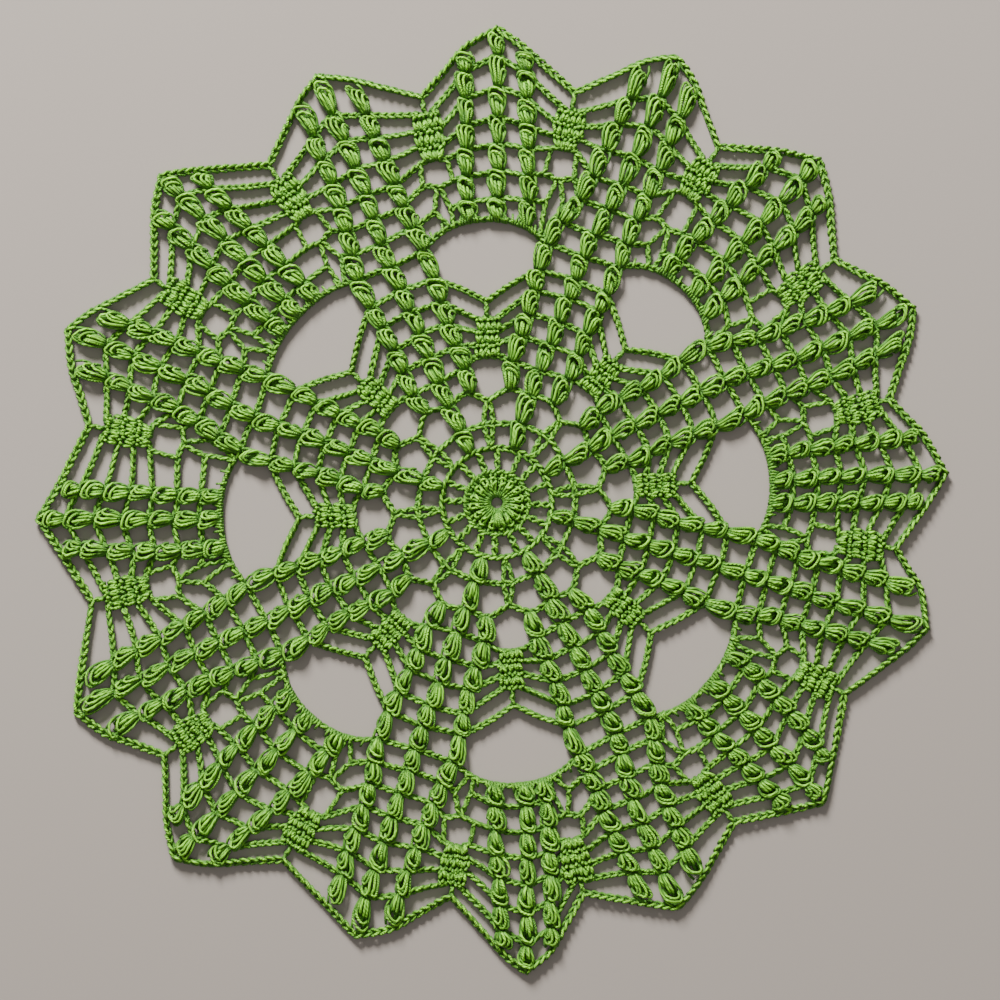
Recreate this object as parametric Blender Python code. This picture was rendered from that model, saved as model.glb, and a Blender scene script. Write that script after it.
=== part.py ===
"""Round crocheted cotton doily with sixteen points, modelled as one flat openwork sheet.

The cloth is charted as it is worked: seventeen rounds from the centre outwards. Eight spokes of
three stitch columns alternate with eight eye shaped openings; a fan of three columns stands on the
far side of every eye. A small dense block fills the valley between each spoke and fan.

Lengths are in millimetres and angles in degrees, clockwise from the +Y axis seen from above.
"""
from collections import namedtuple
from math import cos, degrees, radians, sin

import bmesh
import bpy
from mathutils import Vector
from mathutils.geometry import delaunay_2d_cdt

# ---- driving dimensions ----------------------------------------------------------------------
MILLIMETRE = 0.001
REPEATS = 8
HOLES_PER_REPEAT = 37      # the largest gaps of each repeat are cut, the rest are dimples
RING_CENTRE = (1.5, -0.9)  # places the middle of the overall width and length at the origin

CHAIN_THICKNESS = 1.7      # height of a crocheted chain lying flat
CLUSTER_THICKNESS = 2.9    # height of a cluster of long stitches at its belly
BLOCK_THICKNESS = 2.3      # height of the dense short stitches
DIMPLE_THICKNESS = 1.1     # height in the middle of a gap that stays closed
CHAIN_HALF = 1.0           # half width of a chain
ROPE_HALF = 1.2            # half width of the chain that runs round the edge
FLANK_SAG = 0.6            # how far that chain sags between a valley and a point's flank
TIP_HALF = 0.45            # half width of a point's blunt tip, in degrees

CLUSTER_NECK = 1.5         # half width of a cluster where it joins the chain
CLUSTER_BELLY = 2.75       # half width of a cluster at its widest
POST_NECK = 0.9            # the same for a single upright stitch
POST_BELLY = 0.95
BELLY_RISE = 0.55          # share of a cluster's height at which it is thickest
SMALLEST_GAP = 0.7         # a gap narrower than this, between its opposite sides, stays closed
LARGEST_LIFT = 0.42        # so does one where a chain covers more than this share of its height
SHARPEST_TURN = 0.5        # limits how far a sharp corner moves when an outline is shrunk
SAME_POINT = 1e-5          # points nearer than this are one

CENTRE_HOLE_RADIUS = 2.3
CENTRE_HOLE_SIDES = 8
CENTRE_STITCHES = 16       # stitches of the first and of the second round
CENTRE_STITCH_RADIUS = 6.5 # belly of a stitch of the first round
CENTRE_GAP_RADIUS = 14.3   # middle of the gaps between the posts of the second round
RING_RADIUS = 18.1         # chain ring on top of the second round, where the clusters start

# Rounds of a spoke. top: radius of the round's chain at the spoke's middle. pitch: distance
# between neighbouring columns. side: how much further out the side columns end. twist: how far
# the round lags behind the tenth. drift: share of the spoke's turn that is reached. pull: share of
# the spoke's own pull, which makes the middle rounds uneven.
Round = namedtuple("Round", "top pitch side twist drift pull")
ROUNDS = {
    3: Round(25.4, 0.0, 0.0, -3.5, 0.0, 0.5),
    4: Round(34.3, 0.0, 0.0, -2.1, 0.0, 0.8),
    5: Round(42.7, 9.5, 1.3, -1.4, 0.0, 0.8),
    6: Round(51.2, 9.6, 0.6, -0.8, 0.0, 1.1),
    7: Round(59.3, 9.6, -0.3, -0.4, 0.0, 1.0),
    8: Round(67.1, 10.2, -0.2, -0.1, 0.0, 1.1),
    9: Round(74.3, 11.2, -0.2, 0.0, 0.0, 0.6),
    10: Round(82.2, 11.4, 1.4, 0.0, 0.08, 0.3),
    11: Round(89.6, 10.4, 1.2, 0.0, 0.30, 0.0),
    12: Round(97.8, 9.6, 0.3, 0.0, 0.60, 0.0),
    13: Round(105.6, 9.3, -0.3, 0.0, 0.81, 0.0),
    14: Round(114.5, 9.2, -1.2, 0.0, 0.90, 0.0),
    15: Round(123.7, 9.2, -2.5, 0.0, 0.95, 0.0),
    16: Round(132.8, 9.1, -3.8, 0.0, 0.98, 0.0),
    17: Round(145.6, 9.1, -4.8, 0.0, 1.00, 0.0),
}
FIRST_SPOKE_ROUND = 5
LAST_BLOCK_ROUND = 8       # the dense block inside an eye is worked from the sixth to this round
EYE_POINT_ROUND = 9        # the single stitch on that block
WIDEST_ROUND = 10
LAST_ROUND = 17
EYE_TWIST = 0.9            # share of the rounds' twist that the eyes follow

# The eight spokes. inner and outer: angle of the middle column at the tenth and the last round.
# left and right: angle to the side columns there. reach: radius of the tip. pull: see above.
Spoke = namedtuple("Spoke", "inner outer left_in right_in left_out right_out reach pull")
SPOKES = (
    Spoke(-24.7, -22.9, 7.7, 8.2, 3.4, 3.8, 148.2, -0.4),
    Spoke(19.0, 21.9, 8.6, 7.9, 3.3, 3.1, 153.9, 1.6),
    Spoke(61.2, 64.9, 8.3, 8.6, 4.2, 3.2, 147.2, -0.5),
    Spoke(105.8, 106.3, 8.1, 8.8, 4.8, 3.6, 143.4, -1.1),
    Spoke(152.3, 155.8, 8.2, 9.3, 4.1, 3.5, 142.1, 0.7),
    Spoke(198.1, 198.2, 8.9, 8.5, 4.0, 3.9, 145.6, 0.8),
    Spoke(242.6, 243.6, 7.8, 8.9, 4.0, 3.1, 150.4, -0.1),
    Spoke(289.0, 292.0, 8.0, 9.1, 4.0, 3.3, 148.2, -1.2),
)

# Rounds of a fan: radius of the round's chain at the fan's middle, and how much lower its sides are.
FanRound = namedtuple("FanRound", "top side")
FAN_ROUNDS = {
    11: FanRound(96.7, -0.6),
    12: FanRound(105.3, -1.2),
    13: FanRound(113.8, -1.3),
    14: FanRound(122.7, -2.6),
    15: FanRound(132.0, -3.2),
    16: FanRound(142.0, -4.8),
    17: FanRound(150.7, -5.8),
}
FIRST_FAN_ROUND = 11
FAN_FOOT_HEIGHT = 6.7      # height of a fan's first stitches above the eye's chain

# The eight eyes and the fans on them. eye: angle of the eye's middle. crest: radius of the arched
# chain that closes the eye. block: how much further out the block inside the eye lies. The other
# columns are those of a spoke, from the eleventh round out.
Fan = namedtuple("Fan", "eye crest block inner outer left_in right_in left_out right_out reach")
FANS = (
    Fan(-3.0, 90.3, -0.3, 0.0, 0.0, 5.8, 5.8, 4.1, 3.3, 152.0),
    Fan(39.8, 90.6, -1.0, 43.3, 43.2, 7.0, 4.5, 4.2, 3.9, 150.7),
    Fan(83.9, 87.8, -2.5, 85.3, 86.2, 5.1, 4.7, 5.2, 3.7, 144.1),
    Fan(130.0, 88.4, -0.6, 130.0, 132.5, 7.0, 6.5, 4.5, 3.8, 141.8),
    Fan(175.3, 90.0, 0.0, 174.3, 176.4, 4.0, 6.0, 3.3, 2.7, 150.4),
    Fan(220.5, 90.0, 0.0, 221.5, 222.2, 7.5, 5.8, 3.6, 3.5, 153.6),
    Fan(265.8, 88.1, -1.6, 266.7, 268.0, 6.0, 4.5, 4.0, 3.8, 146.9),
    Fan(311.8, 86.8, -2.2, 313.3, 314.3, 5.0, 4.8, 3.8, 3.2, 150.1),
)

# The sixteen valleys, each after a spoke or a fan, with the radii of the pointed stitch that starts
# it, of the dense block's foot and top, and of the edge chain's lowest point.
Valley = namedtuple("Valley", "angle point foot top edge")
VALLEYS = (
    Valley(-10.5, 101.8, 111.0, 126.2, 131.0),
    Valley(10.8, 104.3, 114.5, 127.2, 132.6),
    Valley(31.9, 102.4, 114.8, 127.8, 133.2),
    Valley(54.2, 99.9, 111.3, 126.6, 132.0),
    Valley(75.2, 100.5, 111.3, 125.6, 128.8),
    Valley(96.5, 98.9, 109.1, 123.4, 127.5),
    Valley(118.8, 101.1, 109.7, 122.4, 126.0),
    Valley(143.4, 99.2, 108.1, 121.5, 126.2),
    Valley(167.5, 101.1, 109.7, 123.4, 126.9),
    Valley(186.7, 99.9, 109.7, 122.4, 125.6),
    Valley(211.0, 102.1, 114.5, 127.2, 132.0),
    Valley(232.9, 103.7, 114.5, 127.2, 132.6),
    Valley(256.4, 103.7, 114.2, 128.2, 132.3),
    Valley(280.8, 101.1, 112.3, 127.2, 131.8),
    Valley(303.0, 101.1, 111.3, 125.6, 130.1),
    Valley(326.0, 99.9, 109.7, 124.0, 129.5),
)
VALLEY_ROWS = 3            # rows of short stitches in a valley's block
VALLEY_FOOT_HALF = 1.5     # half widths of that block, in degrees
VALLEY_WAIST_HALF = 2.2
VALLEY_TOP_HALF = 0.9
WINDOW_POST_FOOT = 2.7     # the two posts beside a valley's window, in degrees from its middle
WINDOW_POST_TOP = 2.1
VALLEY_V_HALF = 1.6        # the two stitches under the pointed one, in degrees
VALLEY_V_DEPTH = 7.3       # how far below the point they end
VALLEY_V_SHIFT = 1.3       # their foot leans towards the eye, in degrees
VALLEY_POST_RISE = 1.5     # the window's posts start this far beyond the point
VALLEY_CAP_DROP = 0.6      # and end this far below the block's foot
VALLEY_BLOCK_ROUND = 13    # round on which the block stands

# The dense block inside each eye: radius of every row's top, and half its width.
BLOCK_FOOT = 47.0
BLOCK_ROW_TOPS = (51.2, 55.4, 59.6)
BLOCK_HALF = 3.6
POST_TOP = 64.5            # the single stitch on the block, where the eye begins
POINT_RADIUS = 32.6        # the pointed stitch of the fourth round, under the inner window
POINT_HALF = 1.5           # its half width, in degrees
WINDOW_NECK = 1.5          # half width of the stitches beside that window, in degrees
WINDOW_FOOT_RISE = 0.6     # the window's lower corners lie this far above their feet
WINDOW_TOP_DROP = 0.4      # and its upper corners this far below their tops
ARC_RADIUS = 36.3          # crest of the fourth round's chains
V_FOOT_HALF = 1.0          # the pair of stitches of the third round, in degrees
V_TOP_HALF = 3.6
FLANK_FOOT = 36.2          # the side columns of a spoke start on the fourth round's arc
EYE_CHAIN_BOW = 0.5        # how far the slanted chains under an eye bend inwards
EYE_ARC_STEPS = 8
EYE_ARC_INSET = 0.8        # the arched chain starts this far inside the columns, in degrees
EYE_ARC_POWER = 2.4        # how square the arched chain over an eye is

Gap = namedtuple("Gap", "loop area")


# ---- places in the chart ---------------------------------------------------------------------
def at(angle, radius):
    """A point of the chart, in millimetres."""
    return Vector((sin(radians(angle)), cos(radians(angle)))) * radius


def spoke_angle(spoke, level):
    row = ROUNDS[level]
    return spoke.inner + row.twist + (spoke.outer - spoke.inner) * row.drift


def spoke_node(index, level, column):
    """Angle and radius where a spoke's column meets the chain of a round; column is -1, 0 or 1."""
    spoke = SPOKES[index % REPEATS]
    row = ROUNDS[level]
    outward = max(0.0, (level - WIDEST_ROUND) / (LAST_ROUND - WIDEST_ROUND))
    longer = spoke.reach - ROPE_HALF - ROUNDS[LAST_ROUND].top
    radius = row.top + longer * outward + spoke.pull * row.pull
    angle = spoke_angle(spoke, level) + 360 * (index // REPEATS)
    if column == 0:
        return angle, radius
    radius += row.side
    widest = ROUNDS[WIDEST_ROUND]
    even_in = degrees(widest.pitch / (widest.top + widest.side))
    last = ROUNDS[LAST_ROUND]
    even_out = degrees(last.pitch / (last.top + longer + last.side))
    near, far = (spoke.left_in, spoke.left_out) if column < 0 else (spoke.right_in, spoke.right_out)
    if level > WIDEST_ROUND:
        spread = near / even_in + (far / even_out - near / even_in) * outward
    else:
        inward = (level - FIRST_SPOKE_ROUND) / (WIDEST_ROUND - FIRST_SPOKE_ROUND)
        spread = 1 + (near / even_in - 1) * inward
    return angle + column * spread * degrees(row.pitch / radius), radius


def fan_node(index, level, column):
    """The same for the fan beyond an eye."""
    fan = FANS[index % REPEATS]
    row = FAN_ROUNDS[level]
    outward = (level - FIRST_FAN_ROUND) / (LAST_ROUND - FIRST_FAN_ROUND)
    near_shift = fan.crest + FAN_FOOT_HEIGHT - FAN_ROUNDS[FIRST_FAN_ROUND].top
    far_shift = fan.reach - ROPE_HALF - FAN_ROUNDS[LAST_ROUND].top
    radius = row.top + near_shift + (far_shift - near_shift) * outward
    angle = fan.inner + (fan.outer - fan.inner) * outward + 360 * (index // REPEATS)
    if column == 0:
        return angle, radius
    near, far = (fan.left_in, fan.left_out) if column < 0 else (fan.right_in, fan.right_out)
    return angle + column * (near + (far - near) * outward), radius + row.side


def eye_angle(index, level):
    return FANS[index % REPEATS].eye + ROUNDS[level].twist * EYE_TWIST + 360 * (index // REPEATS)


def eye_arc(index, angle):
    """Radius of the arched chain over an eye, at an angle between the spokes beside it."""
    start, start_radius = spoke_node(index, WIDEST_ROUND, 1)
    end, end_radius = spoke_node(index + 1, WIDEST_ROUND, -1)
    share = min(max((angle - start) / (end - start), 0.0), 1.0)
    rise = FANS[index % REPEATS].crest - (start_radius + end_radius) / 2
    level = start_radius + (end_radius - start_radius) * share
    return level + rise * (1 - abs(2 * share - 1) ** EYE_ARC_POWER)


# ---- gaps between the stitches -----------------------------------------------------------------
def signed_area(loop):
    """Area inside a loop of points, positive where it runs counter-clockwise."""
    return sum(a.cross(b) for a, b in zip(loop, loop[1:] + loop[:1])) / 2


def area_of(loop):
    return abs(signed_area(loop))


def upright_gap(low_left, high_left, low_right, high_right, left, right):
    """The clear space between two upright stitches and the chains below and above them.

    left and right give each stitch's half widths at its neck and belly.
    """
    ends = (low_left, high_left, low_right, high_right)
    low_left, high_left, low_right, high_right = (at(*end) for end in ends)
    bottom = (low_right - low_left).length
    top = (high_right - high_left).length
    width = (bottom + top) / 2

    def inside(across, from_left, up):
        low = low_left.lerp(low_right, across if from_left else 1 - across)
        high = high_left.lerp(high_right, across if from_left else 1 - across)
        return low.lerp(high, up)

    left_lift = CHAIN_HALF / (high_left - low_left).length
    right_lift = CHAIN_HALF / (high_right - low_right).length
    too_low = max(left_lift, right_lift) > LARGEST_LIFT
    too_narrow = left[1] + right[1] + SMALLEST_GAP > width
    too_pointed = left[0] + right[0] + SMALLEST_GAP > min(bottom, top)
    if too_low or too_narrow or too_pointed:
        return None
    loop = [inside(left[0] / bottom, True, left_lift),
            inside(right[0] / bottom, False, right_lift),
            inside(right[1] / width, False, 0.5),
            inside(right[0] / top, False, 1 - right_lift),
            inside(left[0] / top, True, 1 - left_lift),
            inside(left[1] / width, True, 0.5)]
    return Gap(loop, area_of(loop))


def shrunk(loop, margin):
    """A loop of chart points moved inwards by a margin at every corner."""
    moved = []
    for before, here, after in zip(loop[-1:] + loop[:-1], loop, loop[1:] + loop[:1]):
        entry = (here - before).normalized()
        leave = (after - here).normalized()
        inward_a = Vector((entry.y, -entry.x))
        inward_b = Vector((leave.y, -leave.x))
        mean = inward_a + inward_b
        moved.append(here + mean * (margin / max(SHARPEST_TURN, mean.length_squared / 2)))
    return moved


CLUSTER = (CLUSTER_NECK, CLUSTER_BELLY)
POST = (POST_NECK, POST_BELLY)


def medallion_gaps(index):
    """Gaps of rounds three and four, beside the pairs of stitches and under the arcs."""
    gaps = []
    for spoke, side in ((index, 1), (index + 1, -1)):
        low = spoke_node(spoke, 3, 0)
        high = spoke_node(spoke, 4, 0)
        third, fourth = eye_angle(index, 3), eye_angle(index, 4)
        pair_foot = (third - side * V_FOOT_HALF, RING_RADIUS)
        pair_top = (third - side * V_TOP_HALF, low[1])
        foot = (low[0], RING_RADIUS)
        if side > 0:
            gaps.append(upright_gap(foot, low, pair_foot, pair_top, CLUSTER, POST))
        else:
            gaps.append(upright_gap(pair_foot, pair_top, foot, low, POST, CLUSTER))
        arc = ((high[0] + fourth) / 2, ARC_RADIUS)
        corners = [at(low[0] + side * degrees(CLUSTER_BELLY / low[1]), low[1]),
                   at(high[0] + side * degrees(CLUSTER_BELLY / high[1]), (low[1] + high[1]) / 2),
                   at(high[0] + side * degrees(CLUSTER_NECK / high[1]), high[1]),
                   at(*arc),
                   at(fourth - side * POINT_HALF, POINT_RADIUS),
                   at(*pair_top)]
        loop = shrunk(corners if side > 0 else corners[::-1], CHAIN_HALF)
        gaps.append(Gap(loop, area_of(loop)))
    return gaps


def window_gap(index):
    """The six sided window under the dense block inside an eye."""
    left = spoke_node(index, FIRST_SPOKE_ROUND, 1)
    right = spoke_node(index + 1, FIRST_SPOKE_ROUND, -1)
    middle = eye_angle(index, FIRST_SPOKE_ROUND)
    foot = BLOCK_FOOT + FANS[index].block
    reach = degrees(BLOCK_HALF / foot)
    waist = (FLANK_FOOT + left[1]) / 2
    bulge = degrees((CLUSTER_BELLY - CHAIN_HALF) / waist)
    low = FLANK_FOOT + WINDOW_FOOT_RISE
    corners = [at(eye_angle(index, 4), POINT_RADIUS),
               at(left[0] + WINDOW_NECK, low),
               at(left[0] + bulge, waist),
               at(left[0] + WINDOW_NECK, left[1] - WINDOW_TOP_DROP),
               at(middle - reach, foot),
               at(middle + reach, foot),
               at(right[0] - WINDOW_NECK, right[1] - WINDOW_TOP_DROP),
               at(right[0] - bulge, waist),
               at(right[0] - WINDOW_NECK, low)]
    loop = shrunk(corners, CHAIN_HALF)
    return Gap(loop, area_of(loop))


def flank_foot(index, side):
    """Where the first stitch of a spoke's side column stands on the fourth round's arc."""
    return spoke_node(index, FIRST_SPOKE_ROUND, side)[0], FLANK_FOOT


def spoke_gaps(index):
    """Gaps between the three columns of a spoke."""
    gaps = []
    for level in range(FIRST_SPOKE_ROUND, LAST_ROUND + 1):
        for left, right in ((-1, 0), (0, 1)):
            if level == FIRST_SPOKE_ROUND:
                feet = {side: flank_foot(index, side) for side in (-1, 1)}
                feet[0] = spoke_node(index, 4, 0)
            else:
                feet = {side: spoke_node(index, level - 1, side) for side in (-1, 0, 1)}
            gaps.append(upright_gap(feet[left], spoke_node(index, level, left),
                                    feet[right], spoke_node(index, level, right), CLUSTER, CLUSTER))
    return gaps


def block_row(index, row, side):
    """Outer corner of a row of the inner block: row 0 is its foot."""
    radius = (BLOCK_FOOT, *BLOCK_ROW_TOPS)[row] + FANS[index % REPEATS].block
    level = min(FIRST_SPOKE_ROUND + row, LAST_BLOCK_ROUND)
    return eye_angle(index, level) + side * degrees(BLOCK_HALF / radius), radius


def post_top(index):
    return eye_angle(index, EYE_POINT_ROUND), POST_TOP + FANS[index % REPEATS].block


def inner_block_gaps(index):
    """The slanted slots between the inner block and the spokes beside it."""
    gaps = []
    rows = len(BLOCK_ROW_TOPS)
    for row in range(1, rows + 2):
        level = FIRST_SPOKE_ROUND + row
        for spoke, column, side in ((index, 1, -1), (index + 1, -1, 1)):
            low, high = spoke_node(spoke, level - 1, column), spoke_node(spoke, level, column)
            near_low = block_row(index, row - 1, side)
            near_high = block_row(index, row, side) if row <= rows else post_top(index)
            if side < 0:
                gaps.append(upright_gap(low, high, near_low, near_high, CLUSTER, POST))
            else:
                gaps.append(upright_gap(near_low, near_high, low, high, POST, CLUSTER))
    return gaps


def eye_gap(index):
    """The large eye: two slanted chains below, the arched chain above."""
    left, right = spoke_node(index, EYE_POINT_ROUND, 1), spoke_node(index + 1, EYE_POINT_ROUND, -1)
    left_top, right_top = spoke_node(index, WIDEST_ROUND, 1), spoke_node(index + 1, WIDEST_ROUND, -1)
    point = post_top(index)
    bow = at(point[0], -EYE_CHAIN_BOW)
    corners = [at(*point), at(*left).lerp(at(*point), 0.5) + bow, at(*left)]
    side = degrees((CLUSTER_BELLY - CHAIN_HALF) / left[1])
    corners.append(at(left[0] + side, (left[1] + left_top[1]) / 2))
    for step in range(EYE_ARC_STEPS + 1):
        share = step / EYE_ARC_STEPS
        angle = left_top[0] + EYE_ARC_INSET + (right_top[0] - left_top[0] - 2 * EYE_ARC_INSET) * share
        corners.append(at(angle, eye_arc(index, angle)))
    corners.append(at(right[0] - side, (right[1] + right_top[1]) / 2))
    corners += [at(*right), at(*right).lerp(at(*point), 0.5) + bow]
    loop = shrunk(corners, CHAIN_HALF)
    return Gap(loop, area_of(loop))


def fan_gaps(index):
    """Gaps between the three columns of a fan."""
    gaps = []
    for level in range(FIRST_FAN_ROUND, LAST_ROUND + 1):
        for left, right in ((-1, 0), (0, 1)):
            tops = {side: fan_node(index, level, side) for side in (-1, 0, 1)}
            if level == FIRST_FAN_ROUND:
                feet = {side: (tops[side][0], eye_arc(index, tops[side][0])) for side in (-1, 0, 1)}
            else:
                feet = {side: fan_node(index, level - 1, side) for side in (-1, 0, 1)}
            gaps.append(upright_gap(feet[left], tops[left], feet[right], tops[right], CLUSTER, CLUSTER))
    return gaps


def valley_sides(number):
    """The column on each side of a valley, and the eye's side as -1 or 1."""
    index = number // 2
    if number % 2 == 0:
        return (lambda level: spoke_node(index, level, 1)), (lambda level: fan_node(index, level, -1)), 1
    return (lambda level: fan_node(index, level, 1)), (lambda level: spoke_node(index + 1, level, -1)), -1


def valley_gaps(number):
    """Window, slots and small gaps of the valley between a spoke and a fan."""
    valley = VALLEYS[number]
    left, right, eye_side = valley_sides(number)
    index = number // 2
    foot_angle = valley.angle + eye_side * VALLEY_V_SHIFT
    foot = (foot_angle, eye_arc(index, foot_angle))
    pair = {side: (valley.angle + side * VALLEY_V_HALF, valley.point - VALLEY_V_DEPTH) for side in (-1, 1)}
    point = (valley.angle, valley.point)
    post_foot, post_top_radius = valley.point + VALLEY_POST_RISE, valley.foot - VALLEY_CAP_DROP
    posts = {side: (valley.angle + side * WINDOW_POST_FOOT, post_foot) for side in (-1, 1)}
    caps = {side: (valley.angle + side * WINDOW_POST_TOP, post_top_radius) for side in (-1, 1)}

    gaps = []
    for column, side in ((left, -1), (right, 1)):
        if side == -eye_side:
            start = column(WIDEST_ROUND)
        else:
            start = (column(FIRST_FAN_ROUND)[0], eye_arc(index, column(FIRST_FAN_ROUND)[0]))
        cells = [(start, column(11), foot, pair[side]),
                 (column(11), column(12), pair[side], point),
                 (column(12), column(13), posts[side], caps[side])]
        rows = [caps[side]]
        for row in range(1, VALLEY_ROWS + 1):
            half = VALLEY_TOP_HALF if row == VALLEY_ROWS else VALLEY_WAIST_HALF
            radius = valley.foot + (valley.top - valley.foot) * row / VALLEY_ROWS
            rows.append((valley.angle + side * half, radius))
        rows.append((valley.angle, valley.edge))
        for row in range(1, VALLEY_ROWS + 2):
            level = VALLEY_BLOCK_ROUND + row
            cells.append((column(level - 1), column(level), rows[row - 1], rows[row]))
        for low, high, near_low, near_high in cells:
            if side < 0:
                gaps.append(upright_gap(low, high, near_low, near_high, CLUSTER, POST))
            else:
                gaps.append(upright_gap(near_low, near_high, low, high, POST, CLUSTER))

    corners = [at(*point), at(*posts[-1]), at(*caps[-1]),
               at(valley.angle - VALLEY_FOOT_HALF, valley.foot),
               at(valley.angle + VALLEY_FOOT_HALF, valley.foot),
               at(*caps[1]), at(*posts[1])]
    loop = shrunk(corners, CHAIN_HALF)
    gaps.append(Gap(loop, area_of(loop)))
    return gaps


def repeat_gaps(index):
    """All gaps of one repeat, the largest first."""
    gaps = [eye_gap(index), window_gap(index)]
    gaps += medallion_gaps(index) + spoke_gaps(index) + inner_block_gaps(index) + fan_gaps(index)
    gaps += valley_gaps(2 * index) + valley_gaps(2 * index + 1)
    return sorted((gap for gap in gaps if gap), key=lambda gap: -gap.area)


def all_holes():
    """The loops that are cut: the largest gaps of each repeat, and the ring in the centre."""
    loops = []
    for index in range(REPEATS):
        loops += [gap.loop for gap in repeat_gaps(index)[:HOLES_PER_REPEAT]]
    turn = 360 / CENTRE_HOLE_SIDES
    loops.append([at(turn * step, CENTRE_HOLE_RADIUS) for step in range(CENTRE_HOLE_SIDES)])
    return loops


# ---- edge and relief -----------------------------------------------------------------------------
def edge_loop():
    """The chain round the edge: from valley to tip and down again, sixteen times."""
    line = []
    for point in range(2 * REPEATS):
        node = fan_node if point % 2 else spoke_node
        left, tip, right = (node(point // 2, LAST_ROUND, column) for column in (-1, 0, 1))
        start = at(VALLEYS[point - 1].angle, VALLEYS[point - 1].edge)
        end = at(VALLEYS[point].angle, VALLEYS[point].edge)
        line.append(start)
        line.append(start.lerp(at(*left), 0.5) - at(left[0], FLANK_SAG))
        line.append(at(*left))
        line += [at(tip[0] - TIP_HALF, tip[1]), at(tip[0] + TIP_HALF, tip[1])]
        line.append(at(*right))
        line.append(end.lerp(at(*right), 0.5) - at(right[0], FLANK_SAG))
    return shrunk(line, -ROPE_HALF)


def relief_points():
    """Chart point and height of every cluster's belly, of the dense blocks and of closed gaps."""
    points = []

    def belly(low, high, height=CLUSTER_THICKNESS):
        points.append((at(*low).lerp(at(*high), BELLY_RISE), height))

    for index in range(REPEATS):
        belly((spoke_node(index, 3, 0)[0], RING_RADIUS), spoke_node(index, 3, 0))
        belly(spoke_node(index, 3, 0), spoke_node(index, 4, 0))
        belly(spoke_node(index, 4, 0), spoke_node(index, 5, 0))
        for column in (-1, 0, 1):
            if column:
                belly(flank_foot(index, column), spoke_node(index, FIRST_SPOKE_ROUND, column))
            for level in range(FIRST_SPOKE_ROUND + 1, LAST_ROUND + 1):
                belly(spoke_node(index, level - 1, column), spoke_node(index, level, column))
            base = fan_node(index, FIRST_FAN_ROUND, column)
            belly((base[0], eye_arc(index, base[0])), base)
            for level in range(FIRST_FAN_ROUND + 1, LAST_ROUND + 1):
                belly(fan_node(index, level - 1, column), fan_node(index, level, column))
        middle = eye_angle(index, LAST_BLOCK_ROUND - 1)
        belly((middle, BLOCK_FOOT), (middle, BLOCK_ROW_TOPS[-1]), BLOCK_THICKNESS)
        for gap in repeat_gaps(index)[HOLES_PER_REPEAT:]:
            points.append((sum(gap.loop, Vector((0, 0))) / len(gap.loop), DIMPLE_THICKNESS))
    for valley in VALLEYS:
        belly((valley.angle, valley.foot), (valley.angle, valley.top), BLOCK_THICKNESS)
    for stitch in range(CENTRE_STITCHES):
        turn = (stitch + 0.5) * 360 / CENTRE_STITCHES
        points.append((at(turn, CENTRE_STITCH_RADIUS), BLOCK_THICKNESS))
        points.append((at(turn, CENTRE_GAP_RADIUS), DIMPLE_THICKNESS))
    return points


# ---- the solid -------------------------------------------------------------------------------------
def triangles(loops, extra):
    """Triangles of the sheet between its edge, loops[0], and its holes, with extra inner points."""
    points = [point for loop in loops for point in loop]
    faces = []
    start = 0
    for loop in loops:
        corners = list(range(start, start + len(loop)))
        faces.append(corners if signed_area(loop) > 0 else corners[::-1])
        start += len(loop)
    points += extra
    inside_only = 1
    _, _, cut, sources, _, owners = delaunay_2d_cdt(points, [], faces, inside_only, SAME_POINT)
    cloth = [face for face, owner in zip(cut, owners) if list(owner) == [0]]
    return [[sources[corner][0] for corner in face] for face in cloth]


def doily_mesh():
    loops = [edge_loop()] + all_holes()
    relief = relief_points()
    rim = [point for loop in loops for point in loop]
    mesh = bmesh.new()
    floor = [mesh.verts.new((p.x, p.y, 0)) for p in rim]
    roof = [mesh.verts.new((p.x, p.y, CHAIN_THICKNESS)) for p in rim]
    roof += [mesh.verts.new((p.x, p.y, height)) for p, height in relief]
    for face in triangles(loops, []):
        mesh.faces.new([floor[corner] for corner in face])
    for face in triangles(loops, [point for point, height in relief]):
        mesh.faces.new([roof[corner] for corner in face])
    start = 0
    for loop in loops:
        count = len(loop)
        for step in range(count):
            here, after = start + step, start + (step + 1) % count
            mesh.faces.new((floor[here], floor[after], roof[after], roof[here]))
        start += count
    loose = [vert for vert in mesh.verts if not vert.link_faces]
    bmesh.ops.delete(mesh, geom=loose, context="VERTS")
    bmesh.ops.recalc_face_normals(mesh, faces=mesh.faces)
    bmesh.ops.translate(mesh, vec=(*RING_CENTRE, 0), verts=mesh.verts)
    bmesh.ops.scale(mesh, vec=(MILLIMETRE, MILLIMETRE, MILLIMETRE), verts=mesh.verts)
    return mesh


def cotton_material():
    """Mercerised cotton thread, leaf green."""
    material = bpy.data.materials.new("cotton_yarn")
    material.use_nodes = True
    shader = material.node_tree.nodes["Principled BSDF"]
    shader.inputs["Base Color"].default_value = (0.16, 0.38, 0.06, 1)
    shader.inputs["Roughness"].default_value = 0.62
    shader.inputs["Metallic"].default_value = 0.0
    return material


def main():
    for thing in list(bpy.data.objects):
        bpy.data.objects.remove(thing)
    mesh = doily_mesh()
    data = bpy.data.meshes.new("lace_doily")
    mesh.to_mesh(data)
    mesh.free()
    doily = bpy.data.objects.new("lace_doily", data)
    data.materials.append(cotton_material())
    bpy.context.scene.collection.objects.link(doily)


main()
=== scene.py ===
import random
from math import cos, degrees, hypot, pi, radians, sin

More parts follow.
